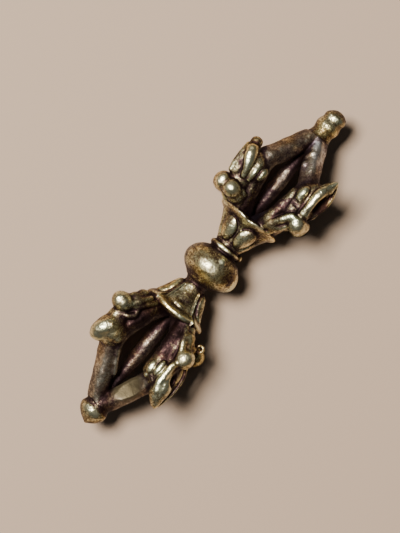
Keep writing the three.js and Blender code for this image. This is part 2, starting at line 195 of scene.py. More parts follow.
class Element:
    """One element of the wax pattern: its distance, in a box of the grid, to which forms are added."""

    def __init__(self, name, place, low, high):
        """low and high are corners of the element's box in its own frame."""
        self.name, self.place = name, place
        self.start, self.stop = self.cells_round(low, high)
        self.distance = np.full(self.stop - self.start, FAR, np.float32)

    def cells_round(self, low, high):
        """The first and last cells of the grid round a box in the element's own frame."""
        points = self.place.world(np.where(CORNERS, high, low))
        ends = np.stack([points.min(0) - REACH, points.max(0) + REACH])
        cells = np.floor((ends - GRID_LOW) / VOXEL).astype(int)
        start, stop = np.clip(cells, 1, GRID_SHAPE - 2)
        return start, stop + 1

    def span(self):
        return tuple(slice(a, b) for a, b in zip(self.start, self.stop))

    def box(self, low, high):
        """The slices of the element's array round a box in its own frame, and the local coordinates there."""
        start, stop = (np.clip(cell, self.start, self.stop) for cell in self.cells_round(low, high))
        axes = [GRID_LOW[i] + VOXEL * np.arange(start[i], stop[i], dtype=np.float32) for i in range(3)]
        part = tuple(slice(a - c, b - c) for a, b, c in zip(start, stop, self.start))
        return part, self.place.local(*np.ix_(*axes))

    def blend(self, part, distance, width, carve=False):
        own = self.distance[part]
        own[...] = smooth_max(own, -distance, width) if carve else smooth_min(own, distance, width)

    def form(self, function, low, high, width, carve=False):
        part, coordinates = self.box(low, high)
        self.blend(part, function(*coordinates), width, carve)

    def lump(self, centre, radii, pitch=0.0, yaw=0.0, width=0.2, carve=False):
        """An ellipsoid. pitch lifts its front end outwards, and yaw swings it sideways."""
        radii = np.asarray(radii, float) * np.ones(3)
        turn = Matrix.Rotation(math.radians(yaw), 3, "Y") @ Matrix.Rotation(math.radians(pitch), 3, "Z")
        rows = turn.transposed()

        def distance(at, out, side):
            d = (at - centre[0], out - centre[1], side - centre[2])
            q = [dot(row, d) for row in rows]
            k0 = np.sqrt(sum((q[i] / radii[i]) ** 2 for i in range(3))) + 1e-6
            k1 = np.sqrt(sum((q[i] / radii[i] ** 2) ** 2 for i in range(3))) + 1e-6
            return k0 * (k0 - 1.0) / k1

        most = radii.max()
        self.form(distance, [c - most for c in centre], [c + most for c in centre], width, carve)

    def spans(self, rows, reaches):
        """Each span of a curve, with the slices of the array round it and the way there from its start."""
        for first, last, reach in zip(rows[:-1], rows[1:], reaches):
            low = np.minimum(first[:3], last[:3]) - reach
            high = np.maximum(first[:3], last[:3]) + reach
            part, coordinates = self.box(low, high)
            yield first, last, part, [c - f for c, f in zip(coordinates, first)]

    def rod(self, points, width=0.2):
        """A round rod along a curve. Each point is (at, out, side, radius)."""
        rows = spline(points, ROD_POINTS)
        total = np.full_like(self.distance, FAR)
        for first, last, part, d in self.spans(rows, np.maximum(rows[:-1, 3], rows[1:, 3])):
            run = last[:3] - first[:3]
            t = np.clip(dot(run, d) / float(run @ run), 0.0, 1.0)
            gap = np.sqrt(sum((d[i] - float(run[i]) * t) ** 2 for i in range(3)))
            total[part] = np.minimum(total[part], gap - (first[3] + (last[3] - first[3]) * t))
        self.blend(..., total, width)

    def bar(self, points, power, width=0.2, count=ROD_POINTS, keel=0.0):
        """A rod with another section. Each point is (at, out, side, half width, half depth): half its size
        sideways, and square to that. A power over 2 makes the section squarer, and keel adds a ridge."""
        rows = spline(points, count)
        total = np.full_like(self.distance, FAR)
        reaches = np.maximum(rows[:-1, 3:], rows[1:, 3:]).max(1) * 1.3
        for first, last, part, d in self.spans(rows, reaches):
            run = last[:3] - first[:3]
            length = float(run @ run) ** 0.5
            along = run / length
            across = np.array((0.0, 0.0, 1.0)) - along * along[2]
            across /= np.linalg.norm(across)
            up = np.cross(across, along)
            up *= np.sign(up[1]) if abs(up[1]) > 1e-6 else 1.0
            t = dot(along, d) / length
            beyond = (t - np.clip(t, 0.0, 1.0)) * length
            t = np.clip(t, 0.0, 1.0)
            half_width = first[3] + (last[3] - first[3]) * t
            half_depth = first[4] + (last[4] - first[4]) * t
            wide = np.abs(dot(across, d)) / half_width
            deep = dot(up, d) / half_depth
            if keel:
                deep = deep * (1.0 + keel * np.clip(wide, 0, 1) * (deep > 0))
            least = np.minimum(half_width, half_depth)
            size = (wide**power + np.abs(deep) ** power + (np.abs(beyond) / least) ** power) ** (1.0 / power)
            total[part] = np.minimum(total[part], (size - 1.0) * least)
        self.blend(..., total, width)


HUB_LEAN = 0.2  # how far the middle of the ball is off the axis, to the front
HUB_SWELL = 0.25  # how much fuller the ball is towards its left
SHOULDER_PROFILE = ((-3.1, -2.3, -1.2, 0.0), (2.3, 3.1, 4.15, 4.2))  # places along it, and its radius there


def one_form(name, place, low, high, function):
    """An element that starts as one form, which fills its box."""
    element = Element(name, place, low, high)
    element.form(function, low, high, BARE)
    return element


def make_hub():
    element = Element("hub_ball", AMULET, (-3.1, -4.9, -5.0), (2.9, 4.9, 4.9))

    def ball(at, out, side):
        # A rounded barrel
        radius = np.sqrt(out * out + (side + HUB_LEAN) ** 2)
        along = (at + HUB_SWELL * np.cos(at / HUB_HALF_LENGTH * 1.6)) / HUB_HALF_LENGTH
        around = np.maximum(radius - HUB_END_RADIUS, 0.0) / (HUB_RADIUS - HUB_END_RADIUS)
        return (np.sqrt(along**2 + around**2) - 1.0) * HUB_HALF_LENGTH

    def shoulder(at, out, side):
        # The left of the barrel runs down to its neck as a cone
        radius = np.sqrt(out * out + (side + HUB_LEAN / 2) ** 2)
        cone = (radius - np.interp(at, *SHOULDER_PROFILE)) * 0.75
        return np.maximum(cone, np.maximum(at, -3.0 - at))

    element.form(ball, (-2.9, -4.9, -4.9), (2.9, 4.9, 4.9), BARE)
    element.form(shoulder, (-3.1, -4, -4), (0.1, 4, 4), 0.5)
    element.lump((-2.35, 2.45, -0.2), 0.5, width=0.3)
    element.lump((1.5, 3.9, -0.9), (0.5, 0.35, 0.6), width=0.3)
    return element


# How thick each collar is at places along it, as its wax was pressed
COLLAR_PROFILES = {
    "left": ((-0.6, 0, 0.5, 1.0, 1.2), (2.9, 2.4, 2.0, 1.75, 1.85)),
    "right": (
        (-0.6, -0.2, 0.1, 0.3, 0.6, 0.9, 1.1, 1.25, 1.4, 1.6, 1.8),
        (2.3, 2.15, 2.25, 2.48, 2.6, 2.48, 2.15, 1.98, 2.12, 2.05, 1.8),
    ),
}


def make_collar(end_name, end):
    place = Place(end["sign"], 0, HUB_HALF_LENGTH)
    element = Element(end_name + "_collar", place, (-0.6, -3.4, -3.4), (1.8, 3.4, 3.4))

    def neck(at, out, side):
        around = np.sqrt(out * out + side * side)
        inside = np.interp(at, *COLLAR_PROFILES[end_name])
        return np.maximum((around - inside) * 0.8, np.abs(at - COLLAR_LENGTH / 2) - 1.1)

    element.form(neck, (-0.6, -3, -3), (1.8, 3, 3), BARE)
    if end_name == "right":
        element.lump((0.75, -0.9, -2.5), 0.6, width=0.3)
    return element


def lotus_radius(along):
    share = along / LOTUS_LENGTH
    return NECK_RADIUS + (LOTUS_MOUTH_RADIUS - PETAL_RELIEF - NECK_RADIUS) * (0.8 * share + 0.2 * share**3)


def cup_radius(along):
    share = along / LOTUS_LENGTH
    thickness = PETAL_NECK_THICKNESS + (PETAL_MOUTH_THICKNESS - PETAL_NECK_THICKNESS) * share
    return lotus_radius(along) - thickness


def make_cup(end_name, end):
    def cup(at, out, side):
        around = np.sqrt(out * out + side * side)
        wall = (around - cup_radius(np.clip(at, 0, LOTUS_LENGTH))) * 0.87
        dome = at - LOTUS_LENGTH - 0.35 + 0.02 * around**2
        return smooth_max(np.maximum(wall, dome), -at - 0.2, 0.3)

    place = Place(end["sign"], 0, LOTUS_AT)
    return one_form(end_name + "_lotus_cup", place, (-0.4, -5, -5), (6.0, 5, 5), cup)


# The reliefs of the petals: u runs from side to side, from -1 to 1, and v from the neck to the mouth


def boss_relief(u, v, boss_at):
    """A boss in a valley, inside a raised rim, as on the right cup's petals."""
    boss = 1.15 * np.sqrt(np.clip(1 - np.hypot((u - boss_at) / 0.62, (v - 0.4) / 0.34) ** 2, 0, 1))
    arch = np.hypot((u - boss_at) / 0.95, (v - 0.4) / 0.55)
    around = smooth_step(0.8, 1.05, arch)
    mouth = smooth_step(0.7, 0.92, v) * (1 - 0.35 * smooth_step(0.92, 1.0, v))
    valley = 1 - smooth_step(0.84, 1.0, np.abs(u))
    return np.maximum(boss, np.maximum(mouth * (0.6 + 0.4 * valley), 0.45 * around * valley))


def lip_relief(v):
    """The rounded lip that a left petal flares to."""
    return 1.2 * smooth_step(0.55, 0.82, v) * (1 - 0.6 * smooth_step(0.82, 1.0, v))


def blade_relief(u, v):
    """A hollow blade between two thin ridges, as on top of the left cup."""
    ridge = np.exp(-(((np.abs(u) - 0.84) / 0.055) ** 2)) * smooth_step(0.0, 0.12, v)
    blade = 0.25 - 0.4 * np.sin(np.pi * np.clip(v * 1.15, 0, 1)) * (1 - 0.6 * np.abs(u))
    beside = 1 - smooth_step(0.88, 0.97, np.abs(u))
    swell = 0.6 * np.exp(-((u / 0.35) ** 2) - ((v - 0.62) / 0.08) ** 2)
    lip = 1.3 * smooth_step(0.7, 0.83, v) * (1 - 0.8 * np.clip((v - 0.83) / 0.17, 0, 1))
    return np.maximum(0.65 * ridge, blade * beside + swell) + lip * (0.5 + 0.5 * beside)


def leaf_relief(u, v):
    """Two full pointed leaves side by side under a rounded lip, as round the left cup."""
    wide = 0.42 * np.maximum(np.sin(np.pi * np.clip(v * 1.1, 0, 1) ** 0.8), 0.0) ** 0.7 + 1e-3
    across = np.clip(1 - ((np.abs(u) - 0.48) / wide) ** 2, 0, 1) ** 0.5
    return np.maximum(1.05 * across * np.minimum(wide / 0.3, 1), 0.9 * lip_relief(v))


BOSSES_AT = {"upper_back": -0.25, "upper_front": 0.42}  # for the right petals whose boss is off the middle


def make_petal(end_name, end, i):
    petal_name = end["petals"][i]
    if end_name == "right":
        relief = partial(boss_relief, boss_at=BOSSES_AT.get(petal_name, 0.0))
    else:
        relief = leaf_relief if i else blade_relief
    quarter = math.pi / 4

    def petal(at, out, side):
        around = np.sqrt(out * out + side * side)
        u = np.arctan2(side, out) / quarter
        reach = LOTUS_LENGTH + PETAL_SCALLOP * (1 - np.clip(u * u, 0, 1))
        v = np.clip(at / reach, 0, 1)
        base = lotus_radius(np.clip(at, 0, LOTUS_LENGTH))
        outer = base - 0.12 + 1.35 * PETAL_RELIEF * relief(np.clip(u, -1, 1), v)
        skin = (around - outer) * 0.85
        hollow = (cup_radius(np.clip(at, 0, LOTUS_LENGTH)) - 0.25 - around) * 0.85
        sides = (np.abs(u) - 0.995) * quarter * around
        ends = np.maximum(at - reach, -at)
        return smooth_max(smooth_max(skin, np.maximum(hollow, sides), 0.12), ends, 0.6)

    place = Place(end["sign"], end["first_petal"] - 90 * i, LOTUS_AT)
    return one_form(f"{end_name}_petal_{petal_name}", place, (-0.3, 0, -4.6), (6.0, 5.9, 4.6), petal)


def arm_line(end):
    """How far out a prong's middle is, as pairs of at and out."""
    belly = end["belly_out"]
    points = [
        (-1.2, ARM_ROOT_OUT - 0.1),
        (0, ARM_ROOT_OUT),
        (ARM_BELLY_AT * 0.38, ARM_ROOT_OUT + 0.62 * (belly - ARM_ROOT_OUT)),
        (ARM_BELLY_AT, belly),
        (end["waist_at"], end["waist_out"]),
        (end["cage"], ARM_END_OUT),
        (end["cage"] + STUB_LENGTH, ARM_END_OUT - 1.6),
    ]
    return spline(points, 80).T


def arm_out(end, at):
    return float(np.interp(at, *arm_line(end)))


# What single prongs got by hand, in the amulet's own frame: the middle of a large ball that hollows a flat,
# and rods of wax, each a row of (x, y, z, radius)
PRONG_FLATS = {"left_prong_upper_front": (-23.9, -0.6, 9.1)}
FLAT_RADIUS = 6.0
PRONG_RODS = {
    "left_prong_upper_back": (((-22.0, 1.0, 3.1, 0.25), (-20.6, 1.85, 3.95, 0.35), (-18.6, 3.05, 4.7, 0.3)),),
    "right_prong_upper_front": (
        ((20.9, -1.25, 3.2, 0.4), (21.2, -1.2, 3.15, 0.4)),
        ((23.0, -1.15, 2.7, 0.36), (23.2, -1.15, 2.65, 0.36)),
    ),
}


def add_rods(element, rods, width):
    for rod in rods:
        element.rod([(x, z, y, radius) for x, y, z, radius in rod], width)


def make_arm(end_name, end, head_name, head):
    name = f"{end_name}_prong_{head_name}"
    last = end["cage"] + STUB_LENGTH
    ats, outs = arm_line(end)
    slopes = np.gradient(outs, ats)

    def arm(at, out, side):
        middle = np.interp(at, ats, outs)
        slope = np.interp(at, ats, slopes)
        taper = smooth_step(0.45, 1.0, at / end["cage"])
        half_width = (ARM_WIDTH + (ARM_TIP_WIDTH - ARM_WIDTH) * taper) / 2 + ARM_FULLNESS
        half_depth = (ARM_DEPTH + (ARM_TIP_DEPTH - ARM_DEPTH) * taper) / 2 + ARM_FULLNESS
        wide = np.abs(side) / half_width
        deep = np.abs(out - middle) / np.sqrt(1 + slope**2) / half_depth
        size = (wide**ARM_SQUARENESS + deep**ARM_SQUARENESS) ** (1 / ARM_SQUARENESS)
        ends = np.maximum(-0.7 - at, at - last)
        return np.maximum((size - 1) * np.minimum(half_width, half_depth), ends)

    place = Place(end["sign"], head.azimuth, MOUTH_AT)
    element = one_form(name, place, (-0.8, 0.0, -1.8), (last, 8.0, 1.8), arm)
    element.place = AMULET
    if name in PRONG_FLATS:
        x, y, z = PRONG_FLATS[name]
        element.lump((x, z, y), FLAT_RADIUS, width=0.15, carve=True)
    add_rods(element, PRONG_RODS.get(name, ()), 0.45)
    return element


# The forms of the four upper heads, which differ as hand-formed wax does, in the amulet's own frame. A lump,
# cut or bead is (x, y, z, size along x, y and z) and may end with its swing, which turns its +x end to the
# front, and its tilt, which lifts that end. A rod is a row of (x, y, z, radius), and a ring is its middle.
UPPER_HEADS = {}
UPPER_HEADS["left_makara_upper_back"] = {
    "curl": (-12.6, 7.0, 6.0, 1.5, 1.72, 1.5),
    "lumps": (
        (-18.2, 6.8, 5.8, 1.55, 1.5, 1.5), (-17.0, 6.3, 5.8, 1.9, 1.9, 1.5, 12, 0),
        (-17.9, 5.3, 5.2, 1.5, 1.5, 1.3), (-16.8, 4.6, 5.7, 1.5, 1.35, 1.35),
        (-14.8, 6.2, 5.4, 1.6, 1.5, 1.3), (-11.6, 5.4, 5.0, 1.6, 1.5, 1.3), (-10.2, 5.2, 4.2, 1.1, 1.0, 1.0),
    ),
    "rods": (
        ((-19.0, 7.2, 6.1, 0.8), (-17.8, 6.9, 6.3, 1.35), (-16.6, 6.2, 6.35, 1.35), (-16.2, 5.2, 6.1, 1.0)),
        ((-14.1, 6.2, 6.2, 0.4), (-13.9, 5.1, 6.2, 0.5), (-13.1, 4.3, 5.8, 0.5), (-12.3, 4.4, 5.6, 0.45)),
        ((-12.0, 6.9, 5.9, 0.6), (-10.8, 6.0, 5.1, 0.6), (-9.6, 5.0, 4.1, 0.55)),
        ((-12.4, 5.9, 6.3, 0.62), (-11.0, 4.9, 5.6, 0.62), (-9.7, 3.9, 4.6, 0.52)),
        ((-12.0, 4.9, 5.8, 0.5), (-10.9, 3.9, 5.1, 0.55), (-9.7, 2.9, 4.3, 0.5)),
    ),
    "cuts": ((-14.8, 8.0, 6.9, 0.9, 1.0, 1.3),),
    "beads": ((-17.3, 3.9, 6.1, 0.9, 0.6, 0.7),),
}
UPPER_HEADS["left_makara_upper_front"] = {
    "curl": (-13.45, -5.8, 6.0, 1.6, 1.5, 1.5),
    "ring": (-10.9, -6.7, 3.2),
    "lumps": (
        (-17.0, -3.3, 5.4, 2.2, 1.4, 1.2), (-16.4, -4.9, 5.6, 2.4, 1.3, 1.25),
        (-13.8, -3.5, 5.2, 2.4, 1.3, 1.1, 12, 0), (-11.8, -3.9, 4.8, 2.2, 1.5, 1.3, 22, 0),
    ),
    "rods": (
        ((-9.5, -2.2, 3.6, 1.0), (-12.5, -2.6, 4.8, 1.2), (-15.2, -2.8, 5.2, 1.15), (-18.2, -2.7, 4.8, 0.9)),
        ((-18.3, -4.35, 6.5, 0.3), (-17.2, -4.45, 6.8, 0.36), (-16.0, -4.4, 6.7, 0.32)),
        ((-17.2, -5.4, 6.0, 1.0), (-18.6, -5.75, 6.0, 1.5), (-20.0, -6.0, 5.9, 1.4), (-21.3, -6.6, 5.8, 0.8),
         (-22.0, -6.95, 5.8, 0.25)),
        ((-19.6, -5.5, 6.7, 0.75), (-18.2, -5.05, 7.0, 0.7), (-16.6, -5.0, 7.0, 0.55),
         (-15.2, -5.05, 6.8, 0.5), (-14.4, -5.4, 6.5, 0.45)),
        ((-21.9, -7.1, 5.4, 0.22), (-20.4, -7.5, 5.2, 0.26), (-18.0, -7.72, 5.1, 0.28),
         (-15.6, -7.4, 4.8, 0.26), (-14.2, -6.6, 4.6, 0.2)),
        ((-13.0, -4.8, 6.4, 0.55), (-11.3, -3.9, 5.6, 0.62), (-9.6, -2.9, 4.4, 0.55)),
        ((-11.6, -5.3, 4.4, 0.4), (-11.4, -6.0, 3.7, 0.35), (-11.2, -6.3, 3.3, 0.25)),
        ((-12.6, -5.7, 5.8, 0.62), (-11.0, -4.7, 5.0, 0.66), (-9.6, -3.9, 4.0, 0.6)),
    ),
    "cuts": ((-16.3, -6.7, 6.3, 1.8, 0.75, 1.2), (-19.2, -7.45, 5.8, 2.2, 0.2, 0.3)),
    "beads": (
        (-17.4, -2.75, 6.1, 1.25, 0.72, 0.7), (-16.8, -3.8, 6.55, 1.35, 0.65, 0.7),
        (-18.8, -2.85, 5.9, 0.5, 0.45, 0.45), (-16.5, -4.7, 6.9, 0.9, 0.4, 0.4),
    ),
}
UPPER_HEADS["right_makara_upper_back"] = {
    "curl": (11.1, 5.05, 6.0, 1.38, 1.5, 1.42),
    "lumps": (
        (15.6, 6.4, 5.5, 3.1, 1.4, 1.5, -3, 2), (18.8, 6.6, 5.5, 1.0, 0.95, 1.0),
        (15.4, 4.6, 5.5, 2.4, 1.7, 1.35), (12.7, 5.0, 5.2, 1.6, 1.6, 1.1), (10.7, 3.9, 4.8, 1.3, 1.3, 1.2),
    ),
    "rods": (
        ((13.7, 4.9, 6.4, 0.5), (15.0, 5.3, 6.8, 0.72), (16.5, 5.85, 6.85, 0.98), (17.5, 6.3, 6.6, 0.95)),
        ((13.7, 3.9, 6.2, 0.38), (15.2, 3.9, 6.6, 0.52), (16.9, 4.0, 6.2, 0.42)),
        ((13.3, 7.0, 5.9, 0.4), (15.4, 7.3, 6.2, 0.45), (17.8, 7.3, 6.0, 0.4)),
        ((11.1, 4.2, 5.8, 0.66), (10.7, 3.2, 4.9, 0.66), (9.7, 2.4, 3.9, 0.55)),
        ((11.8, 3.6, 5.7, 0.42), (11.4, 2.9, 5.1, 0.48), (10.2, 3.4, 4.6, 0.42)),
        ((10.6, 6.2, 5.2, 0.55), (9.7, 5.0, 4.3, 0.55)),
    ),
    "cuts": ((14.5, 6.4, 7.25, 1.3, 0.35, 0.4, -16, 0),),
    "beads": ((15.5, 2.8, 5.9, 1.25, 0.68, 0.85), (11.2, 6.9, 5.6, 1.3, 1.1, 1.2)),
}
UPPER_HEADS["right_makara_upper_front"] = {
    "curl": (13.05, -6.1, 5.8, 1.5, 1.5, 1.5),
    "lumps": (
        (16.9, -3.9, 6.0, 1.6, 1.1, 1.15), (15.2, -4.0, 5.6, 2.5, 1.3, 1.3, 4, 0),
        (17.0, -5.8, 5.7, 2.6, 1.6, 1.35), (17.6, -6.6, 4.9, 3.3, 1.25, 0.6),
        (11.6, -3.4, 4.7, 2.0, 1.5, 1.2, 25, 0),
    ),
    "rods": (
        ((9.6, -1.9, 3.6, 0.95), (12.2, -2.4, 4.8, 1.15), (14.6, -2.7, 5.3, 1.05), (16.6, -3.0, 5.3, 0.95)),
        ((14.5, -5.6, 6.5, 0.5), (16.5, -5.75, 6.9, 0.72), (18.6, -5.75, 6.9, 0.9), (20.3, -6.2, 6.4, 0.6),
         (21.7, -6.8, 6.3, 0.22)),
        ((15.2, -5.9, 6.0, 1.1), (17.6, -6.2, 6.1, 1.25), (19.8, -6.4, 6.1, 0.85), (21.5, -6.8, 6.1, 0.3)),
        ((15.4, -7.0, 4.6, 0.15), (17.0, -7.65, 4.85, 0.22), (19.0, -7.75, 5.0, 0.28),
         (20.5, -7.4, 5.4, 0.28), (21.6, -6.9, 6.0, 0.22)),
        ((18.6, -4.9, 6.0, 0.45), (20.0, -5.5, 6.1, 0.38), (21.3, -6.4, 6.2, 0.25)),
        ((9.6, -2.2, 4.2, 0.55), (11.5, -3.3, 5.6, 0.68), (13.3, -4.5, 6.5, 0.68), (13.7, -5.6, 6.6, 0.6)),
        ((9.6, -3.4, 4.2, 0.5), (11.5, -4.7, 5.4, 0.52), (12.5, -5.6, 5.9, 0.5)),
    ),
    "cuts": (
        (17.1, -7.6, 6.4, 2.8, 1.5, 1.4), (15.3, -3.9, 7.0, 0.5, 0.9, 0.35, 20, 0),
        (14.3, -4.9, 7.3, 0.4, 1.5, 0.5, 14, 0),
    ),
    "beads": ((17.2, -3.8, 6.45, 1.4, 0.85, 0.9, 6, 0), (13.4, -7.2, 5.2, 0.9, 0.7, 0.9)),
}

# Where the brass is made darker or, with an amount under 0, brighter: x, y, z, reach, amount. Most entries
# are patina lying thicker or rubbed off; the others are painted shade, a painted shadow, painted reflections
# and painted highlights, as marked below
STAINS_AND_PAINTED_LIGHT = (
    (-14.2, -2.1, 5.6, 2.6, 0.6), (-11.4, -2.3, 4.8, 2.6, 0.6), (-10.9, -6.7, 3.2, 1.4, 0.35),
    # (-16.3, -7.0, 5.6): painted shade under the lip of a left head's snout
    (-16.3, -7.0, 5.6, 1.6, 0.5), (-12.6, 3.6, 5.0, 2.6, 0.3), (-14.7, 5.4, 6.4, 1.5, 0.4),
    (-10.6, 5.0, 5.2, 2.6, 0.35), (-26.6, -1.2, 1.8, 2.0, 0.35), (-22.4, -1.6, 3.9, 3.0, 0.12),
    (11.3, -3.2, 5.6, 1.8, 0.3), (-18.0, -7.75, 5.2, 1.6, 0.3), (17.0, -7.9, 5.0, 2.0, 0.3),
    (-21.5, 3.4, 4.5, 2.6, -0.12), (20.0, -4.2, 5.0, 1.8, 0.35), (23.5, -1.6, 3.5, 3.0, -0.35),
    # (18.9, 6.6, 5.8): painted shadow on the bead at the tip of a right head's snout
    (18.9, 6.6, 5.8, 1.3, 0.5), (13.6, -2.8, 5.8, 2.6, 0.5), (15.4, -3.7, 6.4, 1.4, 0.25),
    # (0.0, -3.1, 3.2) and (0.0, -4.4, 0.9): painted reflections, a dark band and a bright rim on the hub's
    # front
    (0.0, -3.1, 3.2, 1.7, 0.3), (0.0, -4.4, 0.9, 2.0, -0.35), (2.0, 0.6, 3.8, 1.5, 0.25),
    (-2.2, 1.0, 3.4, 1.6, 0.2), (20.5, 3.5, 4.5, 2.6, 0.15), (6.2, 3.8, 2.2, 1.6, 0.3),
    (6.6, -4.0, 1.6, 2.0, 0.35), (-6.6, -3.2, 2.8, 1.8, 0.3), (5.2, 0.4, 3.0, 0.9, 0.3),
    # (17.4, -7.0, 5.9): painted shade in a snout's hollow; (-13.4, 4.7, 6.0): painted shade on a strand; from
    # (-18.2, 6.7, 7.4) through (17.2, -4.0, 7.3), the amounts under 0 are painted highlights on the heads'
    # top places
    (17.4, -7.0, 5.9, 2.0, 0.6), (-13.4, 4.7, 6.0, 1.2, 0.35), (-18.2, 6.7, 7.4, 2.8, -0.25),
    (17.6, -5.8, 7.7, 2.2, -0.25), (16.2, 5.7, 7.7, 2.0, -0.25), (15.2, 3.9, 7.1, 1.3, -0.2),
    (-17.0, -5.0, 7.6, 2.2, -0.25), (13.4, -5.0, 7.3, 1.4, -0.2), (17.2, -4.0, 7.3, 1.2, -0.2),
    (-15.4, -7.4, 4.9, 1.2, 0.4), (-6.2, -0.1, 3.6, 2.0, 0.35), (19.5, 3.2, 5.0, 2.2, -0.15),
    (14.3, -4.6, 6.6, 1.1, 0.3), (3.2, 0.5, 2.3, 1.2, -0.4), (15.4, 7.4, 6.4, 1.7, 0.18),
    (11.2, 6.3, 6.6, 0.7, 0.35), (-1.2, 3.4, 2.6, 2.0, -0.15), (-4.2, 0.3, 1.6, 1.4, -0.1),
)
CALM_PLACE, CALM_REACH = (-22.3, -1.4, 3.9), 3.2  # where a prong is rubbed so smooth that it has no pits
SIDE_PATINA_AND_SHADE = 0.4  # of sides and undersides: thicker patina, as they wear less than what faces up, and painted shade that dims their reflection of the floor, less on sides that face the front
PRONG_STAIN = 0.27  # of a centre prong, which hands don't reach
FORM_FILLETS = {"lumps": 0.42, "rods": 0.22, "cuts": 0.25, "beads": 0.14}
RING_RADIUS, RING_THICKNESS = 0.48, 0.25


def add_forms(element, forms):
    """Adds forms given in the amulet's own frame to a head."""

    def add_lump(form, width, carve=False):
        x, y, z, along, across, high, *turns = form
        swing, tilt = turns or (0, 0)
        element.lump((x, z, y), (along, high, across), pitch=tilt, yaw=swing, width=width, carve=carve)

    for kind, width in FORM_FILLETS.items():
        if kind == "rods":
            add_rods(element, forms[kind], width)
            continue
        for form in forms[kind]:
            add_lump(form, width, carve=kind == "cuts")
    add_lump(forms["curl"], 0.3)
    if "ring" in forms:
        x, y, z = forms["ring"]

        def ring(at, out, side):
            around = np.sqrt((at - x) ** 2 + (side - y) ** 2) - RING_RADIUS
            return np.sqrt(around**2 + (out - z) ** 2) - RING_THICKNESS

        element.form(ring, (x - 1, z - 0.5, y - 1), (x + 1, z + 0.5, y + 1), 0.1)


def add_mane(element, end, head, skull_at, skull_out, sides):
    """Flesh on the prong, strands over it on the given sides, and a stalk up to the curl."""
    curl_at, curl_out = head.curl
    throat = head.cheek + 0.8

    def on_arm(at):
        return arm_out(end, at) + ARM_DEPTH / 2

    flesh = [
        (0.1, on_arm(0.1) - 0.6, 0, 1.7, 1.0),
        (curl_at * 0.6, on_arm(curl_at * 0.6) - 0.5, 0, 1.9, 1.1),
        (skull_at, on_arm(skull_at) - 0.5, 0, 2.0, 1.1),
        (throat, on_arm(throat) - 0.6, 0, 1.7, 0.8),
    ]
    element.bar(flesh, power=2.4)
    for side in sides:
        for spread, rise, thick in ((1.8, -0.35, 0.4), (STRAND_SPREAD, 0.2, 0.46), (0.5, 0.5, 0.42)):
            strand = [
                (0.1, on_arm(0.1) + rise - 0.35, side * spread * 0.85, thick),
                (curl_at * 0.9, on_arm(curl_at * 0.9) + rise + 0.1, side * spread * 1.05, thick),
                (skull_at - 0.8, (on_arm(skull_at) + rise + skull_out) / 2, side * spread, thick * 1.1),
                (skull_at + 0.8, skull_out + rise, side * spread * 0.9, thick),
            ]
            element.rod(strand, width=0.12)
    stalk = [
        (0.1, on_arm(0.1) - 0.2, 0, 0.7),
        (curl_at * 0.5, on_arm(curl_at * 0.5) + 0.5, 0, 0.85),
        (curl_at * 0.9, curl_out - CURL_RADIUS, 0, 1.05),
        (curl_at, curl_out - 0.4, 0, 1.15),
    ]
    element.rod(stalk, width=0.3)


def add_face(element, end, head, skull_at, skull_out):
    """A wide, flat bill with a keel on its back and a lip along each side, and brows, eyes and cheeks."""
    snout_at, snout_out = head.snout
    bulk = head.bulk
    middle_at, middle_out = (skull_at + snout_at) / 2 + 0.4, (skull_out + snout_out) / 2 + 0.3
    wide, deep = 1.25 * SNOUT_WIDTH * bulk / 2, 0.8 * SNOUT_DEPTH * bulk / 2
    bill = [
        (skull_at - 1.2, skull_out + 0.6, 0, wide * 0.7, deep * 0.8),
        (skull_at + 0.6, skull_out + 0.9, 0, wide, deep),
        (middle_at, middle_out, 0, wide * 0.9, deep * 0.8),
        (snout_at - 0.8, snout_out - 0.15, 0, wide * 0.42, deep * 0.45),
        (snout_at, snout_out, 0, 0.16, 0.16),
    ]
    element.bar(bill, power=1.8, width=0.3, count=16, keel=0.35)
    cheek_at, cheek_out = head.cheek, arm_out(end, head.cheek) + 0.7
    cheek_size = (CHEEK_LENGTH / 2, 1.15 * CHEEK_THICKNESS / 2, 1.1 * CHEEK_THICKNESS / 2)
    for side in (-1, 1):
        lip = [
            (skull_at - 0.4, skull_out + 0.1, side * wide * 0.95, 0.32),
            (middle_at, middle_out - 0.35, side * wide * 0.86, 0.32),
            (snout_at - 0.5, snout_out - 0.25, side * wide * 0.3, 0.24),
        ]
        brow = [
            (skull_at - 1.7, skull_out + 0.9 * bulk, side * 0.85, 0.36),
            (skull_at, skull_out + 1.4 * bulk, side * 0.85, 0.42),
            (skull_at + 1.6, skull_out + 1.2 * bulk, side * 0.5, 0.3),
        ]
        cheekbone = [
            (cheek_at - 2.4, cheek_out + 0.7, side * 1.7, 0.36),
            (cheek_at, cheek_out + 1.3, side * 2.0, 0.44),
            (cheek_at + 1.9, cheek_out + 0.8, side * 1.6, 0.34),
        ]
        element.rod(lip, width=0.15)
        element.rod(brow, width=0.25)
        element.lump((skull_at + 0.2, skull_out + 0.4, side * 1.62 * bulk), 0.6, width=0.12, carve=True)
        element.lump((skull_at + 0.2, skull_out + 0.35, side * 1.5 * bulk), 0.46, width=0.08)
        element.lump((cheek_at, cheek_out, side * (CHEEK_SPREAD + 0.1)), cheek_size, pitch=5, width=0.15)
        element.rod(cheekbone, width=0.1)


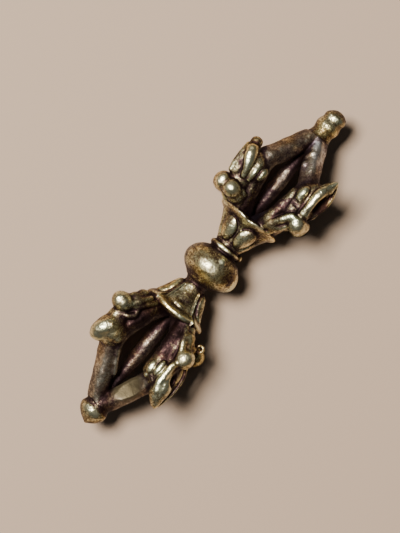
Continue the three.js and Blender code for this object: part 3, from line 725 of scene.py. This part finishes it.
def make_head(end_name, end, head_name, head):
    name = f"{end_name}_makara_{head_name}"
    place = Place(end["sign"], head.azimuth, MOUTH_AT)
    element = Element(name, place, (-0.3, 2.0, -3.6), (head.snout[0] + 0.6, 11.3, 3.6))
    skull_at = head.curl[0] + 0.52 * (head.snout[0] - head.curl[0])
    skull_out = (arm_out(end, skull_at) + head.snout[1]) / 2 - 0.3
    skull_size = (SKULL_LENGTH / 2, SKULL_DEPTH * head.bulk / 2, SKULL_WIDTH * head.bulk / 2)
    # An upper head has forms of its own, and what the others have on both sides only on its outer one
    forms = UPPER_HEADS.get(name)
    outer_side = -1 if head_name.endswith("front") else 1
    add_mane(element, end, head, skull_at, skull_out, (outer_side,) if forms else (-1, 1))
    element.lump((skull_at, skull_out, 0), skull_size, pitch=8, width=0.35)
    if forms:
        cheek_size = (CHEEK_LENGTH / 2, CHEEK_THICKNESS / 2, CHEEK_THICKNESS / 2)
        element.lump((head.cheek, arm_out(end, head.cheek) + 0.7, outer_side * CHEEK_SPREAD), cheek_size)
        element.place = AMULET
        add_forms(element, forms)
    else:
        add_face(element, end, head, skull_at, skull_out)
        element.lump((*head.curl, 0), CURL_RADIUS, width=0.12)
    return element


def make_centre_prong(end_name, end):
    last = end["cage"] + 0.8
    place = Place(end["sign"], 0, MOUTH_AT)
    element = Element(end_name + "_centre_prong", place, (-0.4, -1.3, -1.3), (last, 1.3, 1.3))
    points = [
        (-0.3, 0, 0, CENTRE_RADIUS * 1.1),
        (2.0, 0, 0, CENTRE_RADIUS),
        (end["cage"] * 0.5, 0.05, 0.05, CENTRE_MIDDLE_RADIUS),
        (last - 0.7, 0, 0, CENTRE_TIP_RADIUS),
    ]
    element.rod(points, BARE)
    return element


TIP_DROOPS = {"left": 0.04, "right": 0.08}  # how far a tip bends to the front, per millimetre of its length


def make_tip(end_name, end):
    rows = spline(end["tip"], 60)
    ats, outs = rows[:, 0], np.maximum(rows[:, 1], 0.0)
    last = float(ats[-1])

    def stem(at, out, side):
        around = np.sqrt(out * out + (side + TIP_DROOPS[end_name] * np.maximum(at, 0)) ** 2)
        inside = np.interp(at, ats, outs)
        slope = np.interp(at, ats, np.gradient(outs, ats))
        skin = (around - inside) / np.sqrt(1 + np.minimum(slope**2, 9.0))
        return np.maximum(skin, np.maximum(ats[0] - at, at - last))

    place = Place(end["sign"], 0, MOUTH_AT + end["cage"])
    return one_form(end_name + "_tip", place, (-1.2, -2.6, -2.6), (last + 0.1, 2.6, 2.6), stem)


def make_elements():
    elements = [make_hub()]
    for end_name, end in ENDS.items():
        elements += [make_collar(end_name, end), make_cup(end_name, end)]
        elements += [make_petal(end_name, end, i) for i in range(4)]
        elements += [make_centre_prong(end_name, end), make_tip(end_name, end)]
        for head_name, head in end["heads"].items():
            elements += [make(end_name, end, head_name, head) for make in (make_arm, make_head)]
    return elements


def trilinear(field, cell, share):
    """The field between the corners of rows of cells, at a share of a cell along each axis."""
    total = np.zeros(len(cell), np.float32)
    for corner in CORNERS:
        weight = np.prod(np.where(corner, share, 1 - share), 1)
        total += weight * field[tuple((cell + corner).T)]
    return total


def sample(field, places):
    """The field's value at places in steps of its own grid."""
    cell = np.clip(places.astype(int), 0, np.array(field.shape) - 2)
    return trilinear(field, cell, places - cell)


def noise_at(points, wavelength, seed):
    """Smooth noise from -1 to 1 at rows of points."""
    place = points / wavelength
    low = np.floor(place.min(0)).astype(int)
    shape = np.ceil(place.max(0)).astype(int) - low + 2
    lattice = np.random.default_rng(seed).uniform(-1, 1, tuple(shape)).astype(np.float32)
    place -= low
    cell = place.astype(int)
    share = place - cell
    return trilinear(lattice, cell, share * share * (3 - 2 * share))


def roughen(skin):
    """Gives the skin the unevenness of hand-formed wax and of casting."""
    near = np.nonzero(np.abs(skin) < 0.6)
    points = GRID_LOW + VOXEL * np.stack(near, 1)
    push = sum(height * noise_at(points, wave, seed) for seed, (height, wave) in enumerate(UNEVENNESS, 1))
    skin[near] += push.astype(np.float32)


def surface_net(values):
    """The closed surface where values are 0: (vertices in grid steps, quads)."""
    inside = values < 0
    nx, ny, nz = np.array(values.shape) - 1
    count = sum(inside[i : i + nx, j : j + ny, k : k + nz].astype(np.int8) for i, j, k in CORNERS)
    cells = np.argwhere((count > 0) & (count < 8))
    index = np.full(count.shape, -1, np.int32)
    index[tuple(cells.T)] = np.arange(len(cells))
    at_corner = [values[tuple((cells + c).T)] for c in CORNERS]
    total = np.zeros((len(cells), 3))
    crossings = np.zeros(len(cells))
    for a, b in EDGES:
        va, vb = at_corner[a], at_corner[b]
        crosses = (va < 0) != (vb < 0)
        share = np.where(crosses, va / np.where(crosses, va - vb, 1), 0)
        point = CORNERS[a] + share[:, None] * (CORNERS[b] - CORNERS[a])
        total += point * crosses[:, None]
        crossings += crosses
    vertices = cells + total / crossings[:, None]
    return vertices, np.concatenate([quads_across(axis, inside, index) for axis in range(3)])


def quads_across(axis, inside, index):
    """A quad through the four cells round each grid edge along an axis whose ends are on different sides."""
    b, c = (axis + 1) % 3, (axis + 2) % 3
    starts = np.argwhere(np.diff(inside, axis=axis))
    ring = []
    for db, dc in ((-1, -1), (0, -1), (0, 0), (-1, 0)):
        cell = starts.copy()
        cell[:, b] += db
        cell[:, c] += dc
        ring.append(index[tuple(cell.T)])
    quads = np.stack(ring, 1)
    outward = inside[tuple(starts.T)]
    return np.where(outward[:, None], quads, quads[:, ::-1])


def gradient_at(field, places):
    """The direction in which the field grows fastest, at places in grid steps."""
    shifts = np.eye(3) * 0.6
    rows = np.stack([sample(field, places + s) - sample(field, places - s) for s in shifts], 1)
    return rows / np.maximum(np.linalg.norm(rows, axis=1, keepdims=True), 1e-9)


def make_mesh(name, vertices, quads):
    mesh = bpy.data.meshes.new(name)
    mesh.vertices.add(len(vertices))
    mesh.vertices.foreach_set("co", vertices.astype(np.float32).ravel())
    mesh.loops.add(quads.size)
    mesh.loops.foreach_set("vertex_index", quads.astype(np.int32).ravel())
    mesh.polygons.add(len(quads))
    mesh.polygons.foreach_set("loop_start", np.arange(0, quads.size, 4, dtype=np.int32))
    mesh.polygons.foreach_set("use_smooth", np.ones(len(quads), bool))
    mesh.update(calc_edges=True)
    mesh.validate()
    return mesh


def make_skin(elements):
    """Blends the elements into one skin, and gives it with each cell's least and next least distance."""
    heat = np.zeros(GRID_SHAPE, np.float32)
    least = np.full(GRID_SHAPE, FAR, np.float32)
    second = np.full(GRID_SHAPE, FAR, np.float32)
    for element in elements:
        span = element.span()
        distance = element.distance
        heat[span] += np.exp(-JOINT_SHARPNESS * np.clip(distance, -4, 4))
        second[span] = np.minimum(second[span], np.maximum(least[span], distance))
        least[span] = np.minimum(least[span], distance)
    skin = -np.log(np.maximum(heat, 1e-11)) / JOINT_SHARPNESS
    roughen(skin)
    # Worn flat where it lies on the floor
    heights = GRID_LOW[2] + VOXEL * np.arange(GRID_SHAPE[2], dtype=np.float32)
    skin = np.maximum(skin, -(heights + REST_HEIGHT)[None, None, :])
    return skin, least, second


def own_surface(element, skin, least, second):
    """The element's own part of the skin as a closed surface: (vertices in grid steps, normals, quads)."""
    span = element.span()
    distance, own = element.distance, skin[span]
    others = np.where(distance <= least[span] + 1e-6, second[span], least[span])
    values = own + SINK * np.maximum(distance - others, 0)
    values = np.pad(np.maximum(values, distance - SINK_DEEP), 1, constant_values=FAR)
    vertices, quads = surface_net(values)
    steps = vertices - 1 + element.start
    on_skin = np.abs(sample(values - np.pad(own, 1, constant_values=FAR), vertices)) < 1e-3
    normals = gradient_at(skin, steps)
    inner = gradient_at(values, vertices)
    normals[~on_skin] = inner[~on_skin]
    return steps, normals, quads


def recess_at(skin, steps, normals):
    """How closed in places are, from 0 in the open to 1 in a cleft: how slowly the skin falls away there."""
    total = np.zeros(len(steps))
    for reach, weight in ((0.35, 0.3), (0.8, 0.3), (1.6, 0.25), (2.8, 0.15)):
        ahead = sample(skin, steps + normals * (reach / VOXEL))
        total += weight * np.clip(1 - ahead / reach, 0, 1.5)
    return np.clip(total, 0, 1)


def smoothed(field, reach):
    """The field blurred over about the given reach, by averaging it over a box three times."""
    half = max(1, round(reach / VOXEL / 1.7))
    width = 2 * half + 1
    for _ in range(9):  # each time along the first axis, which then becomes the last
        padded = np.pad(field, ((half + 1, half), (0, 0), (0, 0)), "edge")
        sums = np.cumsum(padded, 0, dtype=np.float64)
        field = ((sums[width:] - sums[:-width]) / width).astype(np.float32).transpose(1, 2, 0)
    return field


def stain_and_painted_light_at(name, places, normals):
    """How much thicker the patina is at places in millimetres than the shape alone would make it, together
    with painted shade, shadow, highlights and reflections, which darken or brighten the brass in the same
    way.
    """
    total = np.full(len(places), PRONG_STAIN if "centre_prong" in name else 0.0)
    for x, y, z, reach, amount in STAINS_AND_PAINTED_LIGHT:
        gap = np.linalg.norm(places - np.array((x, y, z)), axis=1) / reach
        total += amount * (1 - smooth_step(0.35, 1.0, gap))
    # Sides and undersides darker: thicker patina and painted shade on their reflection of the floor, less on
    # sides facing the front
    facing_down = 1 - smooth_step(0.0, 0.8, normals[:, 2])
    return total + SIDE_PATINA_AND_SHADE * facing_down * (1 - 0.6 * np.clip(-normals[:, 1], 0, 1))


def calm_at(name, places):
    """How far places in millimetres are rubbed smooth, from 0 to 1."""
    if name not in PRONG_FLATS:
        return np.zeros(len(places))
    away = np.linalg.norm(places - np.array(CALM_PLACE), axis=1) / CALM_REACH
    return 1 - smooth_step(0.6, 1.0, away)


def link(ob):
    bpy.context.scene.collection.objects.link(ob)
    return ob


def make_pieces(elements):
    """A mesh for each element, with attributes that say how worn and stained its brass is and where shade,
    shadow, highlights and reflections are painted on it.
    """
    skin, least, second = make_skin(elements)
    near = np.clip(skin, -1.2, 1.2)
    fine, broad = smoothed(near, 0.35), smoothed(near, 0.9)
    slots = {s["node"]: s["material_slot"] for s in frame["record"]["subparts"]}
    brasses = {finish: brass(finish) for finish in (OLD_BRASS, PATINA, GREY)}
    for element in elements:
        steps, normals, quads = own_surface(element, skin, least, second)
        places = GRID_LOW + VOXEL * steps
        mesh = make_mesh(element.name + "_cast", (places + (0, 0, REST_HEIGHT)) * MM, quads)
        wear = {
            "recess": recess_at(skin, steps, normals),
            "height": 1.6 * sample(fine, steps) + 0.7 * sample(broad, steps),
            # thicker or rubbed patina, and painted shade, shadow, highlights and reflections
            "stain": stain_and_painted_light_at(element.name, places, normals),
            "calm": calm_at(element.name, places),
        }
        for name, values in wear.items():
            layer = mesh.attributes.new(name, "FLOAT", "POINT")
            layer.data.foreach_set("value", values.astype(np.float32))
        mesh.normals_split_custom_set_from_vertices(normals.astype(np.float32))
        piece = link(bpy.data.objects.new(element.name + "_cast", mesh))
        mesh.materials.append(brasses[OTHER_FINISHES.get(element.name, SLOT_FINISHES[slots[element.name]])])
        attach(piece, "root")
        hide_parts(element.name)


def feed(tree, socket, value):
    """Sets a node's input to a value, or links it to another node's output."""
    if isinstance(value, bpy.types.NodeSocket):
        tree.links.new(value, socket)
    else:
        socket.default_value = value


def node(tree, kind, **inputs):
    made = tree.nodes.new(kind)
    for name, value in inputs.items():
        feed(tree, made.inputs[name], value)
    return made


def ramp(tree, source, stops):
    """Colours for a value from 0 to 1. A stop is its position and its colour, or the one number of a grey."""
    made = node(tree, "ShaderNodeValToRGB", Fac=source)
    elements = made.color_ramp.elements
    while len(elements) < len(stops):
        elements.new(0.5)
    for element, (position, color) in zip(elements, stops):
        element.position = position
        element.color = (*color, 1) if isinstance(color, tuple) else (color, color, color, 1)
    return made.outputs["Color"]


def math_node(tree, operation, one, other, clamp=False):
    made = tree.nodes.new("ShaderNodeMath")
    made.operation = operation
    made.use_clamp = clamp
    feed(tree, made.inputs[0], one)
    feed(tree, made.inputs[1], other)
    return made.outputs["Value"]


def mix(tree, kind, share, one, other):
    made = tree.nodes.new("ShaderNodeMix")
    made.data_type = "RGBA"
    made.blend_type = kind
    for i, value in ((0, share), (6, one), (7, other)):
        feed(tree, made.inputs[i], value)
    return made.outputs[2]


# A finish: its material's name, its colour where rubbed bright, below that, and in the clefts, its least
# roughness, how much of it is rubbed bright, and how much that differs from pit to pit
Finish = namedtuple("Finish", "name bright mid dark roughness wear speckle")
OLD_BRASS = Finish("old_brass", (0.79, 0.71, 0.43), (0.26, 0.2, 0.1), (0.052, 0.026, 0.024), 0.29, 0.22, 1.4)
PATINA = Finish("patina_brass", (0.57, 0.49, 0.37), (0.2, 0.145, 0.1), (0.042, 0.022, 0.022), 0.36, 0.2, 0.95)
GREY = Finish("grey_patina", (0.55, 0.52, 0.5), (0.19, 0.15, 0.15), (0.045, 0.027, 0.033), 0.34, 0.2, 0.95)
SLOT_FINISHES = {"brass": OLD_BRASS, "patina_brass": PATINA}
OTHER_FINISHES = {"right_prong_upper_front": GREY}  # of a node that differs from the rest of its slot
WHITE, GOLDEN_TINT, GREEN_TINT = (1.0, 1.0, 1.0), (1.0, 0.9, 0.66), (0.88, 0.96, 0.98)
RUBBED_COLOR = (0.1, 0.077, 0.042, 1)  # of the flat that is rubbed smooth
# The scale, detail and roughness of the clouds, patches, blotches and grain
NOISES = ((240.0, 2.0, 0.5), (330.0, 3.0, 0.6), (1100.0, 3.0, 0.6), (3600.0, 2.0, 0.7))


def brass(finish):
    """Old cast brass: rubbed bright on the high places, brown below them, dark in the clefts, and pitted,
    with the painted shade, shadow, highlights and reflections that its stains carry.
    """
    material = bpy.data.materials.new(finish.name)
    material.use_nodes = True
    tree = material.node_tree
    shader = tree.nodes["Principled BSDF"]
    shader.inputs["Metallic"].default_value = 1.0
    coordinates = tree.nodes.new("ShaderNodeTexCoord").outputs["Object"]
    add, subtract, multiply = (partial(math_node, tree, kind) for kind in ("ADD", "SUBTRACT", "MULTIPLY"))

    def attribute(key):
        made = tree.nodes.new("ShaderNodeAttribute")
        made.attribute_name = key
        return made.outputs["Fac"]

    def noise(scale, detail, roughness):
        made = node(tree, "ShaderNodeTexNoise", Scale=scale, Detail=detail, Roughness=roughness)
        feed(tree, made.inputs["Vector"], coordinates)
        return made.outputs["Fac"]

    recess, height, stain, calm = map(attribute, ("recess", "height", "stain", "calm"))
    clouds, patches, blotches, grain = (noise(*sizes) for sizes in NOISES)
    shade = subtract(multiply(recess, 1.15), multiply(height, 0.75))
    # The stains darken or brighten the brass for thicker or rubbed patina and for painted shade, shadow,
    # highlights and reflections
    shade = add(add(shade, stain), 0.42 - finish.wear)
    uneven = subtract(1.0, multiply(calm, 0.85))
    for texture, amount in ((patches, 0.75), (blotches, 0.7), (grain, finish.speckle)):
        shade = add(shade, multiply(multiply(subtract(texture, 0.5), amount), uneven))
    tarnish = add(shade, 0.0, clamp=True)
    darkest = tuple(c * 0.4 for c in finish.dark)
    colors = [(0.0, finish.bright), (0.25, finish.mid), (0.6, finish.dark), (1.0, darkest)]
    metal = ramp(tree, tarnish, colors)
    hue = ramp(tree, clouds, [(0.36, GOLDEN_TINT), (0.5, WHITE), (0.64, GREEN_TINT)])
    tinted = mix(tree, "MULTIPLY", 1.0, metal, hue)
    feed(tree, shader.inputs["Base Color"], mix(tree, "MIX", calm, tinted, RUBBED_COLOR))
    least = finish.roughness
    dull = ramp(tree, tarnish, [(0.0, least), (0.3, least + 0.1), (0.8, least + 0.3)])
    feed(tree, shader.inputs["Roughness"], add(dull, multiply(calm, 0.16)))
    pits = add(multiply(grain, 0.6), blotches)
    bump = node(tree, "ShaderNodeBump", Strength=0.8, Distance=0.11 * MM, Height=pits)
    feed(tree, shader.inputs["Normal"], bump.outputs["Normal"])
    return material


FLOOR_COLOR, FLOOR_ROUGHNESS, FLOOR_HALF = (0.34, 0.234, 0.153, 1), 0.8, 1.5


def make_floor():
    mesh = bpy.data.meshes.new("floor")
    corners = [(x * FLOOR_HALF, y * FLOOR_HALF, 0) for x, y in ((-1, -1), (1, -1), (1, 1), (-1, 1))]
    mesh.from_pydata(corners, [], [(0, 1, 2, 3)])
    floor = link(bpy.data.objects.new("floor", mesh))
    material = bpy.data.materials.new("pale_floor")
    material.use_nodes = True
    shader = material.node_tree.nodes["Principled BSDF"]
    shader.inputs["Base Color"].default_value = FLOOR_COLOR
    shader.inputs["Roughness"].default_value = FLOOR_ROUGHNESS
    mesh.materials.append(material)


WINDOW_PLACE, WINDOW_SIZE, WINDOW_POWER = Vector((-0.02, 0.17, 0.49)), 0.14, 7.6
ROOM_STRENGTH = 0.9
ROOM_COLORS = [  # from below to overhead
    (0.0, (0.05, 0.05, 0.05)), (0.4, (0.055, 0.06, 0.065)),
    (0.75, (0.075, 0.08, 0.09)), (1.0, (0.045, 0.05, 0.057)),
]


def make_lights():
    """A dim room, darkest overhead, with a window above the amulet's back."""
    world = bpy.data.worlds.new("studio")
    bpy.context.scene.world = world
    world.use_nodes = True
    tree = world.node_tree
    direction = tree.nodes.new("ShaderNodeTexCoord").outputs["Generated"]
    split = node(tree, "ShaderNodeSeparateXYZ", Vector=direction)
    background = tree.nodes["Background"]
    feed(tree, background.inputs["Color"], ramp(tree, split.outputs["Z"], ROOM_COLORS))
    background.inputs["Strength"].default_value = ROOM_STRENGTH
    light = bpy.data.lights.new("window", "AREA")
    light.shape = "RECTANGLE"
    light.size = light.size_y = WINDOW_SIZE
    light.energy = WINDOW_POWER
    window = link(bpy.data.objects.new("window", light))
    window.location = WINDOW_PLACE
    window.rotation_euler = (-WINDOW_PLACE).to_track_quat("-Z", "Y").to_euler()


def make_camera():
    turn = math.radians(-AXIS_IN_PHOTO_DEG)
    right = Vector((math.cos(turn), math.sin(turn), 0))
    up = Vector((-math.sin(turn), math.cos(turn), 0))
    width, height = PHOTO_SIZE_PX
    m_per_px = MM / PHOTO_PX_PER_MM
    aim = right * (width / 2 - PHOTO_HUB_PX[0]) * m_per_px - up * (height / 2 - PHOTO_HUB_PX[1]) * m_per_px
    data = bpy.data.cameras.new("camera")
    data.sensor_fit = "VERTICAL"
    data.sensor_height = SENSOR_MM
    data.lens = SENSOR_MM * CAMERA_DISTANCE / (height * m_per_px)
    data.clip_start = 0.01
    camera = link(bpy.data.objects.new("camera", data))
    height_above = Vector((0, 0, REST_HEIGHT * MM + CAMERA_DISTANCE))
    camera.matrix_world = Matrix.Translation(aim + height_above) @ Matrix.Rotation(turn, 4, "Z")
    bpy.context.scene.camera = camera


make_camera()
make_pieces(make_elements())
make_floor()
make_lights()
